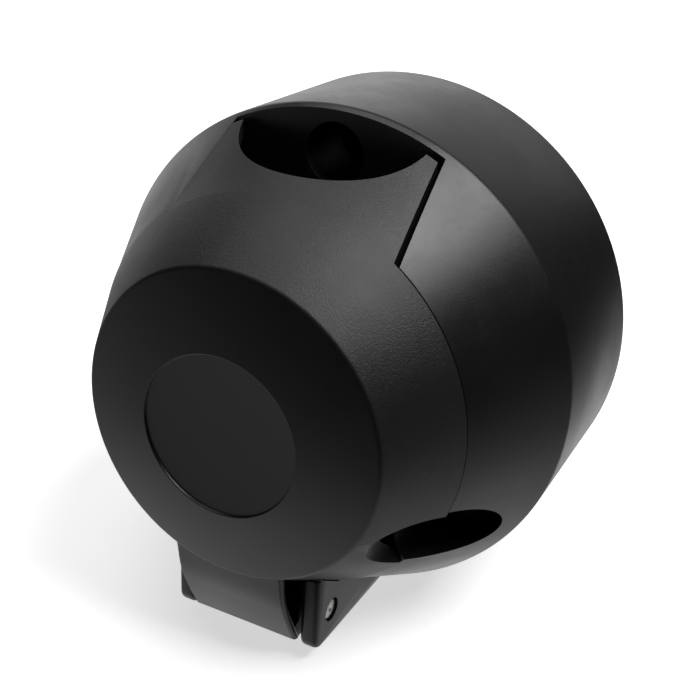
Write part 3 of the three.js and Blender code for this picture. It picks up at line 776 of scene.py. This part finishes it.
def seal_ring():
    """The rubber ring pressed over the lid's rib."""
    seal = LID_SEAL
    mid, rear = (seal["inner"] + seal["outer"]) / 2, seal["rear"]
    return spun("lid_seal_ring", rounded([
        (seal["inner"], seal["front"], 0.3), (seal["outer"], seal["front"], 0.3),
        (seal["outer"], rear, 0.55), (mid + 0.9, rear, 0.2), (mid + 0.6, rear - 0.35, 0.2),
        (mid - 0.6, rear - 0.35, 0.2), (mid - 0.9, rear, 0.2), (seal["inner"], rear, 0.55)], 4))


def hinge_pin():
    """The steel pin, with a chamfer and a shallow centre mark at each end."""
    r, half = PIN["r"], PIN["half"]
    pin = spun("hinge_pin_rod", rounded([
        (0, 0.25 - half, 0), (0.45, -half, 0.05), (r, -half, 0.3), (r, half, 0.3), (0.45, half, 0.05),
        (0, half - 0.25, 0)], 4), 64)
    pin.rotation_euler = (0, 0, math.pi / 2)
    pin.location = (0, PIN["y"], PIN["z"])
    pick_only(pin)
    bpy.ops.object.transform_apply(location=True, rotation=True, scale=True)
    return pin


def torsion_spring():
    """The wire spring: a leg on the arm, the coil on the pin, a leg under the housing."""
    coil, half, leg = SPRING["coil"], SPRING["half"], SPRING["leg"]
    start, swept = math.radians(200), 2 * math.pi * SPRING["turns"] + math.radians(70)
    count = 220
    path = []
    for i in range(count + 1):
        angle = start + swept * i / count
        path.append((-half + 2 * half * i / count, PIN["y"] + coil * math.cos(angle),
                     PIN["z"] + coil * math.sin(angle)))
    first, last = path[0], path[-1]
    path.insert(0, (first[0], first[1] - 0.55, first[2] + leg * 0.62))
    path.append((last[0], last[1] + leg, last[2] - 0.2))
    bpy.ops.object.select_all(action="DESELECT")
    bpy.ops.curve.primitive_bezier_curve_add()
    wire = bpy.context.object
    wire.name = "lid_spring_wire"
    curve = wire.data
    curve.splines.clear()
    spline = curve.splines.new("POLY")
    spline.points.add(len(path) - 1)
    for point, place in zip(spline.points, path):
        point.co = (*place, 1)
    curve.bevel_depth = SPRING["wire"]
    curve.bevel_resolution = 4
    curve.use_fill_caps = True
    pick_only(wire)
    bpy.ops.object.convert(target="MESH")
    return bpy.context.object


CONTACT_PLACES = [
    (radius * math.sin(math.radians(start + 360 * i / count)),
     radius * math.cos(math.radians(start + 360 * i / count)), math.radians(start + 360 * i / count))
    for count, radius, start in CONTACT_RINGS for i in range(count)]


def contact_insert():
    """The moulded insert that holds the contacts, with its flange and two lugs."""
    c, hole = CARRIER, CONTACT_HOLE
    seat = COLLAR["rear"] + GAP
    insert = spun("contact_insert", rounded([
        (0, c["front"], 0), (c["r"], c["front"], 0.5), (c["r"], seat, 0.1), (c["flange"], seat, 0.2),
        (c["flange"], seat + c["thick"], 0.3), (c["r"], seat + c["thick"], 0.3), (c["r"], c["rear"], 0.3),
        (0, c["rear"], 0)], 4), 192)
    bridge = prism("bridge", [(-LUG["x"], -2.4), (LUG["x"], -2.4), (LUG["x"], 2.4), (-LUG["x"], 2.4)],
                   "Y", seat, seat + c["thick"])
    lugs = [bar_y("lug", side * LUG["x"], 0, LUG["r"], seat, seat + c["thick"], 48) for side in (-1, 1)]
    join(insert, bridge, *lugs)
    tools = []
    for x, z, _ in CONTACT_PLACES:
        tools.append(bar_y("mouth", x, z, hole["mouth"], c["front"] - 1, hole["step"] + 1, 32))
        tools.append(bar_y("seat", x, z, hole["r"], hole["step"], c["rear"] + 1, 32))
    tools += [bar_y("lug_hole", side * LUG["x"], 0, LUG["hole"] + 0.2, seat - 1, seat + c["thick"] + 1, 32)
              for side in (-1, 1)]
    return cut(insert, *tools)


def side_bar(name, radius, start, end, count=24):
    """A round bar that stands up from the axis, where a contact's clamp screw goes."""
    return prism(name, circle_points(0, TERMINAL["y"], radius, count), "Z", start, end)


def contact_pattern():
    """One contact on the axis: the spring sleeve in front, the wire post behind."""
    c = CONTACT
    shoulder = CARRIER["rear"] + GAP
    sleeve = spun("contact_pattern", rounded([
        (c["bore"], c["front"], 0.12), (c["r"], c["front"], 0.2), (c["r"], shoulder, 0),
        (c["post"], shoulder, 0.15),
        (c["post"], c["rear"], 0.2), (WIRE_BORE["r"], c["rear"], 0.15),
        (WIRE_BORE["r"], c["rear"] - WIRE_BORE["depth"], 0), (0, c["rear"] - WIRE_BORE["depth"], 0),
        (0, c["front"] + c["depth"], 0), (c["bore"], c["front"] + c["depth"], 0)], 3), 40)
    return cut(sleeve, side_bar("clamp_hole", TERMINAL["hole"], 0.4, 4))


def clamp_screw_pattern():
    """One slotted clamp screw on the axis, standing up."""
    seat = CONTACT["post"] + 0.2
    top = seat + TERMINAL["height"]
    head = soften(side_bar("clamp_pattern", TERMINAL["head"], seat, top, 32), 0.15, 2)
    join(head, side_bar("clamp_shank", TERMINAL["thread"], WIRE_BORE["r"] - 0.2, seat + 0.1))
    low, high = TERMINAL["y"] - 0.2, TERMINAL["y"] + 0.2
    slot = [(-2, low), (2, low), (2, high), (-2, high)]
    return cut(head, prism("clamp_slot", slot, "Z", top - 0.4, top + 1))


def carrier_screw(side):
    """The cross-recessed screw that holds one lug of the insert."""
    x, seat = side * LUG["x"], COLLAR["rear"] + GAP + CARRIER["thick"] + 0.1
    head = soften(bar_y("carrier_head", x, 0, LUG["hole"] + 1.0, seat, seat + 1.9, 48), 0.4, 4)
    join(head, bar_y("carrier_shank", x, 0, LUG["hole"] - 0.5, COLLAR["rear"] - 7, seat + 0.1, 32))
    for wide, tall in ((1.3, 0.32), (0.32, 1.3)):
        cut(head, prism("cross", [(x - wide, -tall), (x + wide, -tall), (x + wide, tall), (x - wide, tall)],
                        "Y", seat + 1.0, seat + 3))
    return head


def gasket_plate():
    """The flat rubber gasket, cleared round the three screw pillars."""
    g = GASKET
    plate = spun("rear_gasket_plate", rounded([
        (g["hole"], g["front"], 0.2), (g["outer"], g["front"], 0.3), (g["outer"], 0, 0.3),
        (g["hole"], 0, 0.2)], 3))
    return cut(plate, *[bar_y("pillar_room", x, z, PILLAR + GAP, g["front"] - 1, 1) for x, z in SCREWS])


def grommet():
    """The rubber grommet where the cable goes in."""
    g = GROMMET
    seat = GASKET["front"] - GAP
    return spun("cable_grommet_ring", rounded([
        (g["cable"], g["front"], 0.4), (g["nose"], g["front"], 0.6),
        (g["nose"] + 3.2, g["flange_front"], 0.8),
        (g["flange"], g["flange_front"], 0.4), (g["flange"], seat, 0.2), (g["neck"], seat, 0.1),
        (g["neck"], -0.2, 0.4), (g["cable"], -0.2, 0.4)], 4), 192)


# ---- Settings --------------------------------------------------------------------------

class SocketSizes(bpy.types.PropertyGroup):
    round_steps: bpy.props.IntProperty(
        name="Steps round the axis", description="Faces round the housing and the lid", default=320,
        min=64, max=512)


class SocketFinishes(bpy.types.PropertyGroup):
    housing_colour: bpy.props.FloatVectorProperty(
        name="Housing colour", description="Moulded plastic of the housing", subtype="COLOR", size=4,
        default=(0.0055, 0.0055, 0.0057, 1), min=0, max=1)
    lid_colour: bpy.props.FloatVectorProperty(
        name="Lid colour", description="Moulded plastic of the lid", subtype="COLOR", size=4,
        default=(0.006, 0.006, 0.0062, 1), min=0, max=1)
    carrier_colour: bpy.props.FloatVectorProperty(
        name="Insert colour", description="Moulded plastic of the contact insert", subtype="COLOR", size=4,
        default=(0.012, 0.012, 0.012, 1), min=0, max=1)
    rubber_colour: bpy.props.FloatVectorProperty(
        name="Rubber colour", description="Seal, gasket and grommet", subtype="COLOR", size=4,
        default=(0.008, 0.008, 0.008, 1), min=0, max=1)
    housing_roughness: bpy.props.FloatProperty(
        name="Housing roughness", description="How matte the housing is", default=0.36, min=0, max=1)
    lid_roughness: bpy.props.FloatProperty(
        name="Lid roughness", description="How matte the lid is", default=0.46, min=0, max=1)
    grain_depth: bpy.props.FloatProperty(
        name="Grain depth", description="Depth of the lid's moulded grain", default=0.00007,
        unit="LENGTH", precision=6)
    floor_colour: bpy.props.FloatVectorProperty(
        name="Floor colour", description="The plain floor", subtype="COLOR", size=4,
        default=(0.85, 0.85, 0.85, 1), min=0, max=1)


# ---- Operators ---------------------------------------------------------------------------

class SOCKET_OT_stage(bpy.types.Operator):
    """Adds the camera, the plain floor and the soft lights"""
    bl_idname = "socket.stage"
    bl_label = "Stage"

    def execute(self, context):
        set_stage(context)
        return {"FINISHED"}


class SOCKET_OT_housing(bpy.types.Operator):
    """Builds the housing with its notch, screw recesses and hinge ears"""
    bl_idname = "socket.housing"
    bl_label = "Housing"

    def execute(self, context):
        finished(build_housing(), "socket_body", "housing_plastic", finish_of("housing"), "housing")
        return {"FINISHED"}


class SOCKET_OT_lid(bpy.types.Operator):
    """Builds the lid with its lobe, arm and scallops"""
    bl_idname = "socket.lid"
    bl_label = "Lid"

    def execute(self, context):
        finished(build_lid(), "lid_body", "lid_plastic", finish_of("lid"), "lid")
        return {"FINISHED"}


class SOCKET_OT_hinge(bpy.types.Operator):
    """Builds the hinge pin and the lid's spring"""
    bl_idname = "socket.hinge"
    bl_label = "Hinge pin and spring"

    def execute(self, context):
        finished(hinge_pin(), "socket_body", "pin_steel", finish_of("pin"), "hinge_pin")
        spring = finished(torsion_spring(), None, "spring_steel", finish_of("spring"), "lid_spring", angle=50)
        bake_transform(spring)
        return {"FINISHED"}


class SOCKET_OT_insert(bpy.types.Operator):
    """Builds the contact insert and the two screws that hold it"""
    bl_idname = "socket.insert"
    bl_label = "Contact insert"

    def execute(self, context):
        finished(contact_insert(), "socket_body", "carrier_plastic", finish_of("carrier"), "contact_carrier")
        for side, word in ((-1, "left"), (1, "right")):
            screw = carrier_screw(side)
            screw.name = f"insert_screw_{word}"
            finished(screw, "socket_body", "screw_steel", finish_of("zinc"), f"carrier_screw_{word}")
        return {"FINISHED"}


class SOCKET_OT_contacts(bpy.types.Operator):
    """Builds one contact with its clamp screw, and copies them to all places"""
    bl_idname = "socket.contacts"
    bl_label = "Contacts"

    def execute(self, context):
        rows = ((contact_pattern(), "contact", "contact_sleeve", "contact_brass", "brass"),
                (clamp_screw_pattern(), "clamp_screw", "terminal_screw", "screw_steel", "zinc"))
        for pattern, word, cad, slot, finish in rows:
            for i, (x, z, angle) in enumerate(CONTACT_PLACES, 1):
                twin = turned(copied(pattern, f"{word}_{i:02d}"), angle, (x, 0, z))
                finished(twin, "socket_body", slot, finish_of(finish), f"{cad}_{i:02d}")
            pick_only(pattern)
            bpy.ops.object.delete()
        return {"FINISHED"}


class SOCKET_OT_rubber(bpy.types.Operator):
    """Builds the lid's seal, the rear gasket and the cable grommet"""
    bl_idname = "socket.rubber"
    bl_label = "Rubber pieces"

    def execute(self, context):
        finished(seal_ring(), "lid_body", "black_rubber", finish_of("rubber"), "lid_seal")
        finished(gasket_plate(), "socket_body", "black_rubber", finish_of("rubber"), "rear_gasket")
        finished(grommet(), "socket_body", "black_rubber", finish_of("rubber"), "cable_grommet")
        return {"FINISHED"}


# ---- Stage ---------------------------------------------------------------------------------

CAMERA_PLACE = Vector((75.1, -170.7, 78.3)) * MM
CAMERA_TURN = (26.451, 25.551, 3.138)  # degrees: round the object, up, and roll
CAMERA_LENS = 60.73
SOFTBOXES = (("key_light", 98, 61, 0.9, 0.5, 9.0), ("top_light", -100, 74, 0.9, 0.6, 2.2))
FLOOR_GLOW = 0.62


def outward(around, up):
    """The unit vector from the object at an angle round it and up, in degrees."""
    a, e = math.radians(around), math.radians(up)
    return Vector((math.sin(a) * math.cos(e), -math.cos(a) * math.cos(e), math.sin(e)))


def add_camera(context):
    """The camera, at the object's own viewing angle."""
    around, _, roll = (math.radians(a) for a in CAMERA_TURN)
    back = outward(*CAMERA_TURN[:2])
    level = Vector((math.cos(around), math.sin(around), 0))
    upright = back.cross(level)
    right = level * math.cos(roll) + upright * math.sin(roll)
    up = upright * math.cos(roll) - level * math.sin(roll)
    bpy.ops.object.camera_add()
    camera = context.object
    camera.name = "stage_camera"
    turn = Matrix((right, up, back)).transposed().to_4x4()
    camera.matrix_world = Matrix.Translation(CAMERA_PLACE) @ turn
    camera.data.lens = CAMERA_LENS
    camera.data.sensor_width = 36
    camera.data.clip_start = 0.005
    context.scene.camera = camera


def add_softbox(name, around, up, distance, size, radiance):
    """A square soft light, placed by its direction from the object and aimed at it."""
    back = outward(around, up)
    middle = Vector((0, -28, 0)) * MM
    bpy.ops.object.light_add(type="AREA", location=middle + back * distance,
                             rotation=back.to_track_quat("Z", "Y").to_euler())
    light = bpy.context.object
    light.name = name
    light.data.size = size
    light.data.energy = radiance * math.pi * size * size


def add_floor(context):
    """The plain pale floor, just under the object."""
    low = CAD_BOX[0][2]
    bpy.ops.mesh.primitive_plane_add(size=6, location=(0, 0, low - 0.0002))
    floor = context.object
    floor.name = "stage_floor"
    pick_only(floor)
    bpy.ops.object.transform_apply(location=True, rotation=True, scale=True)
    material = bpy.data.materials.new("Pale floor")
    material.use_nodes = True
    tree = material.node_tree
    shader = tree.nodes["Principled BSDF"]
    shader.inputs["Base Color"].default_value = context.scene.socket_finishes.floor_colour
    shader.inputs["Roughness"].default_value = 0.9
    shader.inputs["Specular IOR Level"].default_value = 0.1
    seen = node(tree, "ShaderNodeLightPath")
    glow = node(tree, "ShaderNodeEmission")
    both = node(tree, "ShaderNodeAddShader")
    feed(tree, glow, "Strength", math_node(tree, "MULTIPLY", seen.outputs["Is Camera Ray"], FLOOR_GLOW))
    tree.links.new(shader.outputs[0], both.inputs[0])
    tree.links.new(glow.outputs[0], both.inputs[1])
    tree.links.new(both.outputs[0], tree.nodes["Material Output"].inputs["Surface"])
    floor.data.materials.append(material)
    floor.visible_glossy = floor.visible_diffuse = floor.visible_shadow = False


# Soft glows in the surroundings: direction, where each starts and is full, and its strength.
GLOWS = (
    ((-0.64, 0.76, 0.05), 0.8, 0.97, 1.0),
    ((-0.16, 0.93, 0.34), 0.85, 0.98, 0.5),
    ((-0.06, 0.84, -0.54), 0.9, 0.99, 1.0),
    ((0.69, 0.32, -0.64), 0.8, 0.98, 0.25),
    ((-0.61, -0.35, -0.71), 0.45, 0.95, 0.3),
)


def add_world(context):
    """Soft surroundings: lighter below and behind on the left, dark to the front and right."""
    world = bpy.data.worlds.new("Soft studio")
    world.use_nodes = True
    context.scene.world = world
    tree = world.node_tree
    light = tree.nodes["Background"]
    light.inputs["Color"].default_value = (1, 1, 1, 1)
    place = node(tree, "ShaderNodeTexCoord")
    split = node(tree, "ShaderNodeSeparateXYZ")
    tree.links.new(place.outputs["Generated"], split.inputs[0])
    total = spread(tree, math_node(tree, "MULTIPLY", split.outputs["Z"], -1.0), 0.45, 0.8, 0.02, 0.5)
    for direction, start, full, strength in GLOWS:
        toward = node(tree, "ShaderNodeVectorMath", operation="DOT_PRODUCT")
        tree.links.new(place.outputs["Generated"], toward.inputs[0])
        toward.inputs[1].default_value = direction
        glow = spread(tree, toward.outputs["Value"], start, full, 0.0, strength)
        total = math_node(tree, "ADD", total, glow)
    seen = node(tree, "ShaderNodeLightPath")
    shown = node(tree, "ShaderNodeMix", data_type="FLOAT")
    feed(tree, shown, "Factor", seen.outputs["Is Camera Ray"])
    feed(tree, shown, "A", total)
    feed(tree, shown, "B", 1.0)
    tree.links.new(shown.outputs[0], light.inputs["Strength"])


def set_stage(context):
    context.scene.view_settings.view_transform = "Standard"
    add_camera(context)
    add_world(context)
    for softbox in SOFTBOXES:
        add_softbox(*softbox)
    add_floor(context)


# ---- Panel and registration ---------------------------------------------------------------

BUILDERS = (SOCKET_OT_stage, SOCKET_OT_housing, SOCKET_OT_lid, SOCKET_OT_hinge, SOCKET_OT_insert,
            SOCKET_OT_contacts, SOCKET_OT_rubber)


class SOCKET_PT_build(bpy.types.Panel):
    """Lists the socket's pieces and their settings"""
    bl_label = "Trailer socket"
    bl_space_type = "VIEW_3D"
    bl_region_type = "UI"
    bl_category = "Socket"

    def draw(self, context):
        layout = self.layout
        for builder in BUILDERS:
            layout.operator(builder.bl_idname)
        for group in (context.scene.socket_sizes, context.scene.socket_finishes):
            box = layout.box()
            for name in group.__annotations__:
                box.prop(group, name)


CLASSES = (SocketSizes, SocketFinishes, *BUILDERS, SOCKET_PT_build)


def register():
    for each in CLASSES:
        bpy.utils.register_class(each)
    bpy.types.Scene.socket_sizes = bpy.props.PointerProperty(type=SocketSizes)
    bpy.types.Scene.socket_finishes = bpy.props.PointerProperty(type=SocketFinishes)


def unregister():
    del bpy.types.Scene.socket_finishes
    del bpy.types.Scene.socket_sizes
    for each in reversed(CLASSES):
        bpy.utils.unregister_class(each)


def main():
    register()
    for builder in BUILDERS:
        group, name = builder.bl_idname.split(".")
        getattr(getattr(bpy.ops, group), name)()


if __name__ == "__main__":
    main()
